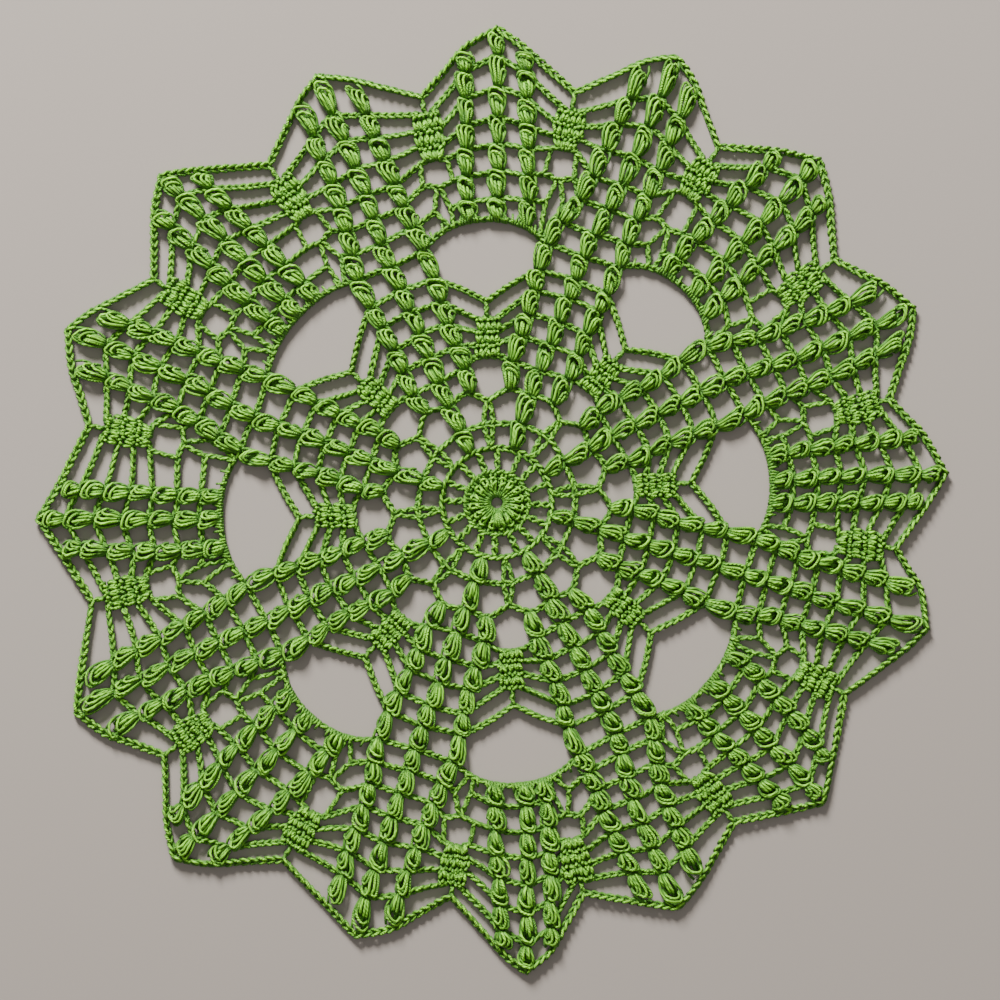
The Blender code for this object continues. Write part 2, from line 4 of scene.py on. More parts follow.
import bmesh
import bpy
import numpy as np
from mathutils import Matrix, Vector


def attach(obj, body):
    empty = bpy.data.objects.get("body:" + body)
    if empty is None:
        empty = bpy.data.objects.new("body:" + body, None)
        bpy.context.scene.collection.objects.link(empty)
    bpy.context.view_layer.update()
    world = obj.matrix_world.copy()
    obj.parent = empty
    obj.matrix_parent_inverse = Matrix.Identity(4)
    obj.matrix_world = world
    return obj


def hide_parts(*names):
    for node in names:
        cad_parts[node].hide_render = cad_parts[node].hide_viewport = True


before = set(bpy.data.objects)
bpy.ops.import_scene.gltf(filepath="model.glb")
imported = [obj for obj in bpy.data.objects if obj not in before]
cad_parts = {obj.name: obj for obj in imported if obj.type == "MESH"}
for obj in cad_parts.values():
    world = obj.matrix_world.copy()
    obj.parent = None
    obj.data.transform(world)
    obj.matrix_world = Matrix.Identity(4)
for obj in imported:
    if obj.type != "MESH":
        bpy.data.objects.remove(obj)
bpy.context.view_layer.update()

chance = random.Random(17)

doily = dict(
    ringCentre=(1.5, -0.9),     # the ring's place in the frame
    yarnRadius=0.42,
    repeats=8,
    firstSpokeRound=5, widestRound=10, firstFanRound=11, lastRound=17,
    ringRadius=18.1,            # chain ring on which the clusters start
    fanFoot=6.7,                # height of the fan's first round over the arch
    ropeHalf=1.2,               # half width of the chain round the edge
    edgeTuck=1.6,               # how far inside that chain the last clusters end
    eyeTwist=0.9,               # share of a round's twist that the eye's middle follows
    archPower=2.4,              # how square the arch over the eye is
)


def stray(spread):
    return chance.uniform(-spread, spread)


# The chart's rounds. top: radius of the round's chain. pitch: distance between columns. side: how
# much further out the side columns end. twist: lag behind the tenth round. drift: share of the
# spoke's turn. pull: share of the spoke's own pull.
def chartRow(top, pitch, side, twist, drift, pull):
    return dict(top=top, pitch=pitch, side=side, twist=twist, drift=drift, pull=pull)


rounds = {
    3: chartRow(25.4, 0.0, 0.0, -3.5, 0.0, 0.5),
    4: chartRow(34.3, 0.0, 0.0, -2.1, 0.0, 0.8),
    5: chartRow(42.7, 9.5, 1.3, -1.4, 0.0, 0.8),
    6: chartRow(51.2, 9.6, 0.6, -0.8, 0.0, 1.1),
    7: chartRow(59.3, 9.6, -0.3, -0.4, 0.0, 1.0),
    8: chartRow(67.1, 10.2, -0.2, -0.1, 0.0, 1.1),
    9: chartRow(74.3, 11.2, -0.2, 0.0, 0.0, 0.6),
    10: chartRow(82.2, 11.4, 1.4, 0.0, 0.08, 0.3),
    11: chartRow(89.6, 10.4, 1.2, 0.0, 0.30, 0.0),
    12: chartRow(97.8, 9.6, 0.3, 0.0, 0.60, 0.0),
    13: chartRow(105.6, 9.3, -0.3, 0.0, 0.81, 0.0),
    14: chartRow(114.5, 9.2, -1.2, 0.0, 0.90, 0.0),
    15: chartRow(123.7, 9.2, -2.5, 0.0, 0.95, 0.0),
    16: chartRow(132.8, 9.1, -3.8, 0.0, 0.98, 0.0),
    17: chartRow(145.6, 9.1, -4.8, 0.0, 1.00, 0.0),
}


# The spokes. near and far are the angles of the middle column at the tenth and the last round;
# leftNear and the like are the angles from it to the side columns.
def spokeRow(near, far, leftNear, rightNear, leftFar, rightFar, reach, pull):
    return dict(near=near, far=far, leftNear=leftNear, rightNear=rightNear,
                leftFar=leftFar, rightFar=rightFar, reach=reach, pull=pull)


spokes = (
    spokeRow(-24.7, -22.9, 7.7, 8.2, 3.4, 3.8, 148.2, -0.4),
    spokeRow(19.0, 21.9, 8.6, 7.9, 3.3, 3.1, 153.9, 1.6),
    spokeRow(61.2, 64.9, 8.3, 8.6, 4.2, 3.2, 147.2, -0.5),
    spokeRow(105.8, 106.3, 8.1, 8.8, 4.8, 3.6, 143.4, -1.1),
    spokeRow(152.3, 155.8, 8.2, 9.3, 4.1, 3.5, 142.1, 0.7),
    spokeRow(198.1, 198.2, 8.9, 8.5, 4.0, 3.9, 145.6, 0.8),
    spokeRow(242.6, 243.6, 7.8, 8.9, 4.0, 3.1, 150.4, -0.1),
    spokeRow(289.0, 292.0, 8.0, 9.1, 4.0, 3.3, 148.2, -1.2),
)


# The fans' rounds: radius of the middle column's top, and how much further out the side columns end.
def fanRoundRow(top, side):
    return dict(top=top, side=side)


fanRounds = {
    11: fanRoundRow(96.7, -0.6),
    12: fanRoundRow(105.3, -1.2),
    13: fanRoundRow(113.8, -1.3),
    14: fanRoundRow(122.7, -2.6),
    15: fanRoundRow(132.0, -3.2),
    16: fanRoundRow(142.0, -4.8),
    17: fanRoundRow(150.7, -5.8),
}


# The eyes and their fans. eye: angle of the eye's middle. crest: radius of the arch over it. block:
# shift of its inner block. The rest is as in the spokes.
def fanRow(eye, crest, block, near, far, leftNear, rightNear, leftFar, rightFar, reach):
    return dict(eye=eye, crest=crest, block=block, near=near, far=far, leftNear=leftNear,
                rightNear=rightNear, leftFar=leftFar, rightFar=rightFar, reach=reach)


fans = (
    fanRow(-3.0, 90.3, -0.3, 0.0, 0.0, 5.8, 5.8, 4.1, 3.3, 152.0),
    fanRow(39.8, 90.6, -1.0, 43.3, 43.2, 7.0, 4.5, 4.2, 3.9, 150.7),
    fanRow(83.9, 87.8, -2.5, 85.3, 86.2, 5.1, 4.7, 5.2, 3.7, 144.1),
    fanRow(130.0, 88.4, -0.6, 130.0, 132.5, 7.0, 6.5, 4.5, 3.8, 141.8),
    fanRow(175.3, 90.0, 0.0, 174.3, 176.4, 4.0, 6.0, 3.3, 2.7, 150.4),
    fanRow(220.5, 90.0, 0.0, 221.5, 222.2, 7.5, 5.8, 3.6, 3.5, 153.6),
    fanRow(265.8, 88.1, -1.6, 266.7, 268.0, 6.0, 4.5, 4.0, 3.8, 146.9),
    fanRow(311.8, 86.8, -2.2, 313.3, 314.3, 5.0, 4.8, 3.8, 3.2, 150.1),
)


# The valleys of the edge: angle, then the radii of the pointed stitch that starts it, of its dense
# block's foot and top, and of the edge chain's lowest point.
def valleyRow(angle, point, foot, top, edge):
    return dict(angle=angle, point=point, foot=foot, top=top, edge=edge)


valleys = (
    valleyRow(-10.5, 101.8, 111.0, 126.2, 131.0),
    valleyRow(10.8, 104.3, 114.5, 127.2, 132.6),
    valleyRow(31.9, 102.4, 114.8, 127.8, 133.2),
    valleyRow(54.2, 99.9, 111.3, 126.6, 132.0),
    valleyRow(75.2, 100.5, 111.3, 125.6, 128.8),
    valleyRow(96.5, 98.9, 109.1, 123.4, 127.5),
    valleyRow(118.8, 101.1, 109.7, 122.4, 126.0),
    valleyRow(143.4, 99.2, 108.1, 121.5, 126.2),
    valleyRow(167.5, 101.1, 109.7, 123.4, 126.9),
    valleyRow(186.7, 99.9, 109.7, 122.4, 125.6),
    valleyRow(211.0, 102.1, 114.5, 127.2, 132.0),
    valleyRow(232.9, 103.7, 114.5, 127.2, 132.6),
    valleyRow(256.4, 103.7, 114.2, 128.2, 132.3),
    valleyRow(280.8, 101.1, 112.3, 127.2, 131.8),
    valleyRow(303.0, 101.1, 111.3, 125.6, 130.1),
    valleyRow(326.0, 99.9, 109.7, 124.0, 129.5),
)


def at(place):
    angle, radius = place
    return Vector((radius * sin(radians(angle)), radius * cos(radians(angle))))


def fullTurns(index):
    return 360 * (index // doily["repeats"])


def spokeNode(index, level, column=0):
    # where the left, middle or right column (-1, 0, 1) of a spoke meets the chain of a round
    spoke, row = spokes[index % doily["repeats"]], rounds[level]
    first, middle, final = doily["firstSpokeRound"], doily["widestRound"], doily["lastRound"]
    widest, last = rounds[middle], rounds[final]
    outward = max(0.0, (level - middle) / (final - middle))
    longer = spoke["reach"] - doily["ropeHalf"] - last["top"]
    radius = row["top"] + longer * outward + spoke["pull"] * row["pull"]
    drift = (spoke["far"] - spoke["near"]) * row["drift"]
    angle = spoke["near"] + row["twist"] + drift + fullTurns(index)
    if column == 0:
        return angle, radius
    radius += row["side"]
    evenNear = degrees(widest["pitch"] / (widest["top"] + widest["side"]))
    evenFar = degrees(last["pitch"] / (last["top"] + longer + last["side"]))
    hand = "left" if column < 0 else "right"
    near, far = spoke[hand + "Near"] / evenNear, spoke[hand + "Far"] / evenFar
    if level > middle:
        spread = near + (far - near) * outward
    else:
        spread = 1 + (near - 1) * (level - first) / (middle - first)
    return angle + column * spread * degrees(row["pitch"] / radius), radius


def fanNode(index, level, column=0):
    # the same for the columns of a fan
    fan, row = fans[index % doily["repeats"]], fanRounds[level]
    first, final = doily["firstFanRound"], doily["lastRound"]
    outward = (level - first) / (final - first)
    nearShift = fan["crest"] + doily["fanFoot"] - fanRounds[first]["top"]
    farShift = fan["reach"] - doily["ropeHalf"] - fanRounds[final]["top"]
    radius = row["top"] + nearShift + (farShift - nearShift) * outward
    angle = fan["near"] + (fan["far"] - fan["near"]) * outward + fullTurns(index)
    if column == 0:
        return angle, radius
    hand = "left" if column < 0 else "right"
    near, far = fan[hand + "Near"], fan[hand + "Far"]
    return angle + column * (near + (far - near) * outward), radius + row["side"]


def eyeAngle(index, level):
    twist = rounds[level]["twist"] * doily["eyeTwist"]
    return fans[index % doily["repeats"]]["eye"] + twist + fullTurns(index)


def eyeArc(index, angle):
    # radius of the arch over the eye at an angle
    start, startRadius = spokeNode(index, doily["widestRound"], 1)
    end, endRadius = spokeNode(index + 1, doily["widestRound"], -1)
    share = min(max((angle - start) / (end - start), 0.0), 1.0)
    rise = fans[index % doily["repeats"]]["crest"] - (startRadius + endRadius) / 2
    arch = 1 - abs(2 * share - 1) ** doily["archPower"]
    return startRadius + (endRadius - startRadius) * share + rise * arch


def underEdge(place, level):
    # the clusters of the last round end just inside the edge chain
    angle, radius = place
    return angle, radius - (doily["edgeTuck"] if level == doily["lastRound"] else 0.0)


strands = {}     # piece name: list of a strand's line in mm, and its thickness against the plain yarn


def smoothLine(points, count):
    # a curve through the points, read at count even steps
    pts = np.array(points, float)
    if len(pts) == 2:
        return pts[0] + (pts[1] - pts[0]) * np.linspace(0, 1, count)[:, None]
    ends = np.vstack([2 * pts[0] - pts[1], pts, 2 * pts[-1] - pts[-2]])
    along = np.linspace(0, len(pts) - 1 - 1e-9, count)
    cell = along.astype(int)
    t = (along - cell)[:, None]
    a, b, c, d = ends[cell], ends[cell + 1], ends[cell + 2], ends[cell + 3]
    return 0.5 * (2 * b + (c - a) * t + (2 * a - 5 * b + 4 * c - d) * t * t
                  + (3 * b - a - 3 * c + d) * t ** 3)


def layYarn(piece, points, count, thick=1.0):
    # a strand through the points; none goes below the floor
    line = smoothLine(points, count)
    line[:, 2] = np.maximum(line[:, 2], doily["yarnRadius"] * thick)
    strands.setdefault(piece, []).append((line, thick))


def localFrame(low, high, lean=0.0):
    # maps (across, up, height) of a stitch to the chart; across and height in mm, up as a share.
    # lean bows the stitch sideways, most at its middle
    base, tip = at(low), at(high)
    axis = tip - base
    side = Vector((axis.y, -axis.x)).normalized()

    def place(across, up, height):
        spot = base + axis * up + side * (across + lean * up * (1 - up) * 4)
        return (spot.x, spot.y, height)
    return place


def rope(piece, path, half, pitch, count, phase, thick, squash=0.75):
    # two strands that wind round a path
    line = smoothLine(path, count)
    ahead = np.gradient(line, axis=0)
    long = np.hypot(ahead[:, 0], ahead[:, 1]) + 1e-6
    side = np.column_stack([ahead[:, 1] / long, -ahead[:, 0] / long, np.zeros(count)])
    reach = np.concatenate([[0], np.cumsum(np.sqrt((np.diff(line, axis=0) ** 2).sum(axis=1)))])
    for strand in (0, 1):
        turn = phase + strand * pi + 2 * pi * reach / pitch
        wound = line + side * (half * np.cos(turn))[:, None]
        wound[:, 2] += half * squash * np.sin(turn)
        layYarn(piece, wound, count, thick)


# Shapes of the yarn in a cluster, seen from its foot: across as a share of the half width, up as a
# share of the height, and the height above the floor in mm. steps: rings of the strand. wander: how
# far it may stray from its place. thick: against the plain yarn.
def strandShape(steps, wander, thick, *points):
    return dict(steps=steps, wander=wander, thick=thick, points=points)


# four hooks, which rise from the foot, bend over at the top and come down on the right, then a short
# finger and the right edge
hookShapes = (
    strandShape(10, 0.12, 1.06, (-0.34, 0.02, 1.3), (-0.62, 0.20, 2.0), (-0.93, 0.46, 2.3),
                (-1.04, 0.70, 2.2), (-0.92, 0.90, 2.2), (-0.58, 0.95, 2.3), (-0.28, 0.84, 2.3),
                (-0.10, 0.68, 1.5)),
    strandShape(10, 0.12, 1.08, (-0.14, 0.00, 1.6), (-0.31, 0.19, 2.5), (-0.55, 0.44, 2.9),
                (-0.66, 0.66, 2.8), (-0.46, 0.84, 2.6), (-0.06, 0.90, 2.6), (0.30, 0.80, 2.4),
                (0.46, 0.64, 1.5)),
    strandShape(10, 0.12, 1.08, (0.06, 0.00, 1.7), (0.04, 0.19, 2.6), (-0.09, 0.42, 3.0),
                (-0.12, 0.58, 2.9), (0.06, 0.73, 2.7), (0.42, 0.79, 2.5), (0.74, 0.69, 2.2),
                (0.86, 0.52, 1.4)),
    strandShape(9, 0.12, 1.08, (0.24, 0.01, 1.6), (0.32, 0.18, 2.5), (0.33, 0.38, 2.8),
                (0.42, 0.53, 2.6), (0.70, 0.62, 2.3), (0.98, 0.54, 1.8), (1.02, 0.38, 1.3)),
    strandShape(5, 0.12, 1.06, (0.42, 0.05, 1.5), (0.57, 0.18, 2.1), (0.68, 0.34, 2.3),
                (0.66, 0.50, 1.5)),
    strandShape(5, 0.07, 1.04, (0.98, 0.48, 1.2), (0.94, 0.34, 1.6), (0.78, 0.18, 1.6),
                (0.56, 0.04, 1.1)),
)
# an edge, two threads across the top as a hood, and four fingers that end under it
hoodShapes = (
    strandShape(6, 0.10, 1.06, (-0.36, 0.02, 1.3), (-0.60, 0.18, 2.0), (-0.90, 0.42, 2.3),
                (-1.02, 0.62, 2.1), (-0.96, 0.80, 1.5)),
    strandShape(12, 0.08, 1.06, (-0.98, 0.68, 1.3), (-0.90, 0.88, 1.9), (-0.50, 0.97, 2.3),
                (0.05, 0.92, 2.5), (0.55, 0.84, 2.5), (0.95, 0.70, 2.1), (1.04, 0.50, 1.6),
                (0.86, 0.26, 1.5), (0.56, 0.06, 1.1)),
    strandShape(8, 0.12, 1.08, (-0.80, 0.62, 1.7), (-0.66, 0.78, 2.4), (-0.20, 0.80, 2.7),
                (0.32, 0.72, 2.7), (0.70, 0.58, 2.2), (0.78, 0.40, 1.4)),
    strandShape(6, 0.12, 1.08, (-0.20, 0.01, 1.5), (-0.34, 0.16, 2.5), (-0.52, 0.36, 2.9),
                (-0.62, 0.54, 2.7), (-0.60, 0.66, 1.5)),
    strandShape(6, 0.12, 1.08, (0.00, 0.00, 1.7), (-0.06, 0.16, 2.6), (-0.16, 0.36, 3.0),
                (-0.26, 0.54, 2.7), (-0.24, 0.64, 1.5)),
    strandShape(6, 0.12, 1.08, (0.20, 0.00, 1.7), (0.22, 0.16, 2.6), (0.20, 0.34, 3.0),
                (0.12, 0.50, 2.6), (0.10, 0.60, 1.4)),
    strandShape(6, 0.12, 1.08, (0.40, 0.03, 1.5), (0.50, 0.17, 2.2), (0.54, 0.32, 2.6),
                (0.46, 0.46, 2.2), (0.40, 0.54, 1.3)),
)
# the thread that goes on from the right corner, and the layers below
underShapes = (
    strandShape(4, 0.06, 1.06, (0.70, 0.50, 1.3), (0.92, 0.66, 1.6), (0.86, 0.86, 1.6),
                (0.58, 1.06, 1.2)),
    strandShape(3, 0.04, 1.45, (-0.74, 0.60, 0.8), (0.00, 0.64, 1.0), (0.66, 0.50, 0.8)),
    strandShape(4, 0.05, 1.45, (-0.34, 0.03, 0.8), (-0.60, 0.32, 1.5), (-0.66, 0.66, 0.9),
                (-0.50, 0.98, 0.6)),
    strandShape(4, 0.05, 1.50, (0.06, 0.06, 1.0), (-0.08, 0.30, 2.0), (-0.10, 0.58, 1.1),
                (-0.20, 0.88, 0.6)),
    strandShape(4, 0.05, 1.45, (0.34, 0.06, 0.9), (0.44, 0.30, 1.7), (0.54, 0.54, 0.9),
                (0.46, 0.78, 0.5)),
)
clusterLook = dict(
    half=2.6, firstHalf=2.4,     # half width; the first cluster of a spoke is narrower
    shift=0.10,                  # how far the belly lies to the right of the line from foot to top
    width=(0.88, 1.10), thick=(0.92, 1.06), belly=(0.90, 1.06),
    skew=(-0.34, 0.04), skewFrom=0.3,      # sideways slant, and the share of the height it turns about
    lean=0.4, stretch=0.05,
    heldFrom=1.1,                # share of the height past which a strand no longer strays
    lowest=0.5,
)


def cluster(piece, low, high, half=clusterLook["half"]):
    # several long stitches closed together, which lean to the left and bend over at their top
    half *= chance.uniform(*clusterLook["width"])
    place = localFrame(low, high, stray(clusterLook["lean"]))
    skew = chance.uniform(*clusterLook["skew"])
    belly, stretch = chance.uniform(*clusterLook["belly"]), stray(clusterLook["stretch"])
    for shape in (*chance.choice((hookShapes, hoodShapes)), *underShapes):
        shift, climb, rise = (stray(shape["wander"]) for _ in range(3))
        points = []
        for across, up, height in shape["points"]:
            free = max(0.0, min(1.0, up * (clusterLook["heldFrom"] - up) * 4))
            sideways = (across + skew * (up - clusterLook["skewFrom"])
                        + (shift + clusterLook["shift"]) * free)
            points.append(place(sideways * half, up + (climb + stretch) * free,
                                max(clusterLook["lowest"], height * (belly + rise))))
        layYarn(piece, points, shape["steps"], shape["thick"] * chance.uniform(*clusterLook["thick"]))


# A post. overlap: share of its length by which it reaches into its neighbours. full: where along it
# its full height starts and ends. core: half width, height and thickness of the thread below. wrap:
# across as a share of the half width, up in mm, and height.
postShape = dict(
    half=0.50, thick=1.18, pitch=5.6, lift=1.2, footHeight=0.8, topHeight=0.9,
    overlap=0.06, full=(0.3, 0.7), fewestRings=5, ringsPerMm=1.1,
    coreHalf=0.3, coreHeight=0.45, coreThick=1.2,
    wrap=((-1.15, -1.1, 0.6), (-1.05, -0.6, 1.3), (0.0, 0.1, 1.9), (1.05, 0.8, 1.3), (1.15, 1.2, 0.6)),
    longFrom=5.5, longWraps=(0.10, 0.55), shortWraps=(0.4,),
    width=(0.9, 1.15), height=(0.9, 1.1), lean=0.25, phase=0.5, wrapStray=0.05,
)


def post(piece, low, high, half=postShape["half"]):
    # a single long stitch: two strands wound together, with wraps round them
    half *= chance.uniform(*postShape["width"])
    place = localFrame(low, high, stray(postShape["lean"]))
    long = hypot(*(at(high) - at(low)))
    lift = postShape["lift"] * chance.uniform(*postShape["height"])
    path = [place(0, -postShape["overlap"], postShape["footHeight"]),
            *(place(0, up, lift) for up in postShape["full"]),
            place(0, 1 + postShape["overlap"], postShape["topHeight"])]
    rings = max(postShape["fewestRings"], round(long * postShape["ringsPerMm"]))
    rope(piece, path, half, postShape["pitch"], rings, stray(postShape["phase"]), postShape["thick"])
    core = [place(-half * postShape["coreHalf"], 0, postShape["coreHeight"]),
            place(half * postShape["coreHalf"], 1, postShape["coreHeight"])]
    layYarn(piece, core, 2, postShape["coreThick"])
    for up in postShape["longWraps" if long > postShape["longFrom"] else "shortWraps"]:
        up += stray(postShape["wrapStray"])
        layYarn(piece, [place(a * half, up + u / long, z) for a, u, z in postShape["wrap"]], 5)


# A chain. core: height of the line that the braid rolls about. leg: across as a share of the half
# width, up in stitches, and height. back: the thread below.
chainShape = dict(
    pitch=2.4, half=0.68, core=0.98, thick=1.14, legRings=4,
    leg=((-0.10, -0.22, 0.80), (0.30, 0.10, 1.42), (0.92, 0.50, 1.45), (1.12, 0.86, 1.05),
         (0.75, 1.16, 0.60)),
    backSway=0.3, backHeight=0.62, backThick=1.3,
    roll=0.9, rollStep=0.16, rollMost=1.0, width=(0.9, 1.1), height=(0.92, 1.08),
    readings=12, look=0.3,      # readings of the line for each of its places, and mm seen ahead
)


def chain(piece, places, half=chainShape["half"], pitch=chainShape["pitch"], bow=0.0, xy=False):
    # a braid of chain stitches along a smooth line; each stitch shows two legs that open in a V
    line = [p if xy else at(p) for p in places]
    if bow and len(line) == 2:
        axis = line[1] - line[0]
        line.insert(1, line[0].lerp(line[1], 0.5) + Vector((-axis.y, axis.x)).normalized() * bow)
    fine = smoothLine([(p.x, p.y, 0) for p in line], chainShape["readings"] * len(line))[:, :2]
    along = np.concatenate([[0], np.cumsum(np.hypot(*np.diff(fine, axis=0).T))])
    count = max(1, round(along[-1] / pitch))
    size = along[-1] / count
    roll, rollStep = stray(chainShape["roll"]), stray(chainShape["rollStep"])
    core, look = chainShape["core"], chainShape["look"]

    def read(distance):
        return [float(np.interp(distance, along, fine[:, k])) for k in (0, 1)]

    def place(across, up, height):
        # up counts stitches from the start; the whole braid rolls a little about its own line
        turn = max(-chainShape["rollMost"], min(chainShape["rollMost"], roll + rollStep * up))
        rise = height - core
        height = core + across * sin(turn) + rise * cos(turn)
        across = across * cos(turn) - rise * sin(turn)
        reach = up * size
        inside = min(max(reach, 0), along[-1])
        x, y = read(inside)
        aheadX, aheadY = read(min(inside + look, along[-1]))
        backX, backY = read(max(inside - look, 0))
        dx, dy = aheadX - backX, aheadY - backY
        long = hypot(dx, dy) or 1
        dx, dy = dx / long, dy / long
        spill = reach - inside
        return (x + dx * spill + dy * across, y + dy * spill - dx * across, height)

    for stitch in range(count):
        wide = half * chance.uniform(*chainShape["width"])
        high = chance.uniform(*chainShape["height"])
        for hand in (-1, 1):
            leg = [place(hand * a * wide, stitch + u, z * high) for a, u, z in chainShape["leg"]]
            layYarn(piece, leg, chainShape["legRings"], chainShape["thick"])
    sway, height = chainShape["backSway"], chainShape["backHeight"]
    back = [place(half * (sway if k % 2 else -sway), k, height) for k in range(count + 1)]
    layYarn(piece, back, count + 1, chainShape["backThick"])


# Shapes of the yarn in a short stitch, across as a share of the stitch, up of the row: the two legs
# of the V on its top, and the bumps over and beside it.
blockShape = dict(
    thick=1.24, lowest=0.5,
    leg=((0.10, -0.06, 0.9), (0.20, 0.12, 1.9), (0.35, 0.36, 2.1), (0.42, 0.54, 1.0)),
    bumps=(((-0.46, 0.58, 1.0), (-0.20, 0.78, 2.1), (0.10, 0.84, 1.0)),
           ((0.50, 0.62, 1.0), (0.34, 0.86, 1.9), (0.12, 1.04, 1.0)),
           ((0.34, -0.10, 1.0), (0.52, 0.10, 1.9), (0.64, 0.30, 1.0))),
    floors=((0.15, 0.5), (0.50, 0.7), (0.85, 0.5)),     # up and height of the threads under them
    floorEnd=0.02, floorBend=0.03, floorThick=1.5,
    slip=0.15, jitter=0.12, shift=0.10, climb=0.09, height=(0.85, 1.15),
    lean=0.5, leanFrom=0.4, tip=0.35,       # slant, the share of the row it turns about, and its tilt
)


def denseRow(corners, stitches):
    # one row of short stitches between four corners: low left, low right, high right, high left
    lowLeft, lowRight, highRight, highLeft = (at(c) for c in corners)

    def place(across, up, height):
        spot = lowLeft.lerp(lowRight, across).lerp(highLeft.lerp(highRight, across), up)
        return (spot.x, spot.y, height)

    wide = 1 / stitches
    slip = stray(blockShape["slip"])
    leg = blockShape["leg"]
    for k in range(stitches):
        here = (k + 0.5 + slip) * wide + stray(blockShape["jitter"]) * wide
        lean, lift = stray(blockShape["lean"]), chance.uniform(*blockShape["height"])
        for hand, shape in ((-1, leg), (1, leg), *((1, bump) for bump in blockShape["bumps"])):
            shift, climb = stray(blockShape["shift"]), stray(blockShape["climb"])
            points = []
            for across, up, height in shape:
                sideways = hand * across + lean * (up - blockShape["leanFrom"]) + shift
                tilt = across * hand * lean * blockShape["tip"]
                points.append(place(here + sideways * wide, up + climb + tilt,
                                    max(blockShape["lowest"], height * lift)))
            layYarn("dense_blocks", points, len(points), blockShape["thick"])
    end = blockShape["floorEnd"]
    for up, height in blockShape["floors"]:
        floor = [place(end, up, height), place(0.5, up + blockShape["floorBend"], height),
                 place(1 - end, up, height)]
        layYarn("dense_blocks", floor, 3, blockShape["floorThick"])


def blockRow(middle, lowTurn, low, highTurn, high, stitches):
    # a dense row that lies evenly on both sides of an angle
    denseRow(((middle - lowTurn, low), (middle + lowTurn, low),
              (middle + highTurn, high), (middle - highTurn, high)), stitches)


# The two rounds round the hole. The rays wrap the ring round it, the posts of the first round have
# the threads below, and the long posts are those of the second round.
centre = dict(
    posts=16, rayFoot=2.1, rayTop=4.7, postFoot=3.5, postTop=8.1,
    chainTop=9.9, chainStitches=32, chainHalf=0.68,
    secondTop=17.5, secondStitches=48, secondHalf=0.85, chainPlaces=49,
    lean=3.0,                # how far a post's top lies clockwise of its foot, degrees
    longHalf=0.72, longFoot=0.3, longTop=-0.4, longStart=0.1, longLean=-1.2,
    floors=((2.5, 0.5, 1.0), (2.9, 0.9, 1.0), (4.0, 0.5, 1.6), (5.3, 0.5, 1.6), (6.6, 0.5, 1.6),
            (7.9, 0.5, 1.4), (8.9, 0.45, 1.1)),      # radius, height and thickness
    floorRings=33,
    ray=((-0.05, 0.0, 0.7), (0.08, 0.0, 1.6), (0.60, 1.0, 2.0), (1.00, 2.0, 1.6), (1.12, 2.2, 0.9)),
    rayRings=6, rayThick=0.85, threadThick=1.04,
    rayTurn=1.5, rayLonger=(-0.3, 0.5), rayLean=0.2,            # what may stray, and how far
    postTurn=2.0, postLonger=0.3, postLean=0.2, threadShift=0.14, threadClimb=0.04, longTurn=1.5,
)
# the threads of one post of the first round, across in mm and up as a share of its height
centreThreads = (
    ((-0.34, 0.00, 1.2), (-0.42, 0.24, 2.2), (-0.46, 0.58, 2.4), (-0.60, 0.88, 2.0), (-0.50, 1.02, 1.0)),
    ((0.34, 0.00, 1.2), (0.42, 0.24, 2.1), (0.52, 0.58, 2.3), (0.66, 0.84, 1.9), (0.52, 0.98, 1.0)),
    ((-1.00, 0.34, 0.9), (-0.62, 0.44, 1.9), (0.06, 0.58, 2.9), (0.74, 0.72, 2.1), (1.02, 0.80, 0.9)),
    ((-1.30, 0.80, 0.8), (-0.95, 0.96, 1.7), (-0.20, 1.06, 2.2), (0.55, 1.00, 2.0), (1.10, 0.84, 1.0)),
    ((-0.50, 1.00, 1.0), (-0.80, 1.18, 1.6), (-0.66, 1.42, 1.2)),
    ((0.46, 1.00, 1.0), (0.62, 1.20, 1.6), (0.40, 1.42, 1.2)),
)
# where the work starts: a lump of threads beside the hole
startKnot = dict(
    angle=176, foot=2.7, top=7.4, thick=1.1,
    threads=(((-0.20, 0.00, 1.9), (-0.60, 0.40, 2.9), (-1.00, 0.80, 2.8), (-1.10, 1.00, 1.8)),
             ((0.00, 0.00, 2.0), (0.00, 0.40, 3.1), (-0.20, 0.85, 2.9), (-0.30, 1.05, 1.8)),
             ((0.20, 0.00, 1.9), (0.50, 0.40, 3.0), (0.60, 0.80, 2.9), (0.50, 1.00, 1.8)),
             ((0.80, 0.10, 1.3), (1.05, 0.50, 2.6), (1.50, 0.90, 2.4), (1.60, 1.05, 1.4)),
             ((-0.70, 0.16, 1.6), (-1.15, 0.52, 2.7), (-1.75, 0.92, 2.4), (-1.85, 1.05, 1.4)),
             ((-1.20, 0.60, 2.2), (0.00, 0.52, 3.2), (1.00, 0.70, 2.5))),
)


